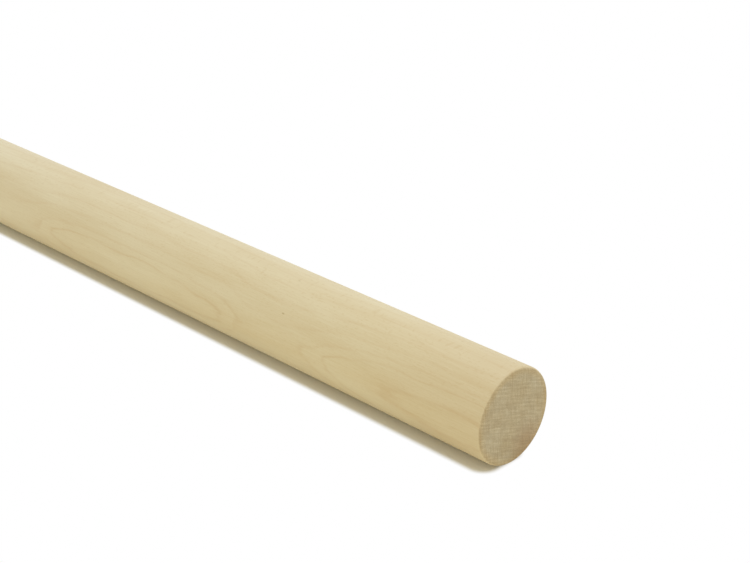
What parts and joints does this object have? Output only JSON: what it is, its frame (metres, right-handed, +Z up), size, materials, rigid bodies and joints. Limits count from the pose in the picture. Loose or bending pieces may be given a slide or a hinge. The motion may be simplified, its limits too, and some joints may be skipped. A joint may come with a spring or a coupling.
{
  "type": "wooden dowel rod",
  "caption": "Straight round rod of pale hardwood with square-cut ends and eased rims, used as a pin, rail, axle or stock for cutting to length.",
  "frame": {"origin": "middle of the rod's axis", "axes": "+X along the rod's axis towards the end that is cut nearest the viewer, +Z up as the rod lies, +Y across it"},
  "size_m": [0.6096, 0.0254, 0.0254],
  "materials": {
    "wood": "unfinished pale hardwood, sanded smooth along the side, sawn and lightly sanded on the ends"
  },
  "bodies": {
    "root": {"dowel_rod": "wood"}
  },
  "joints": []
}
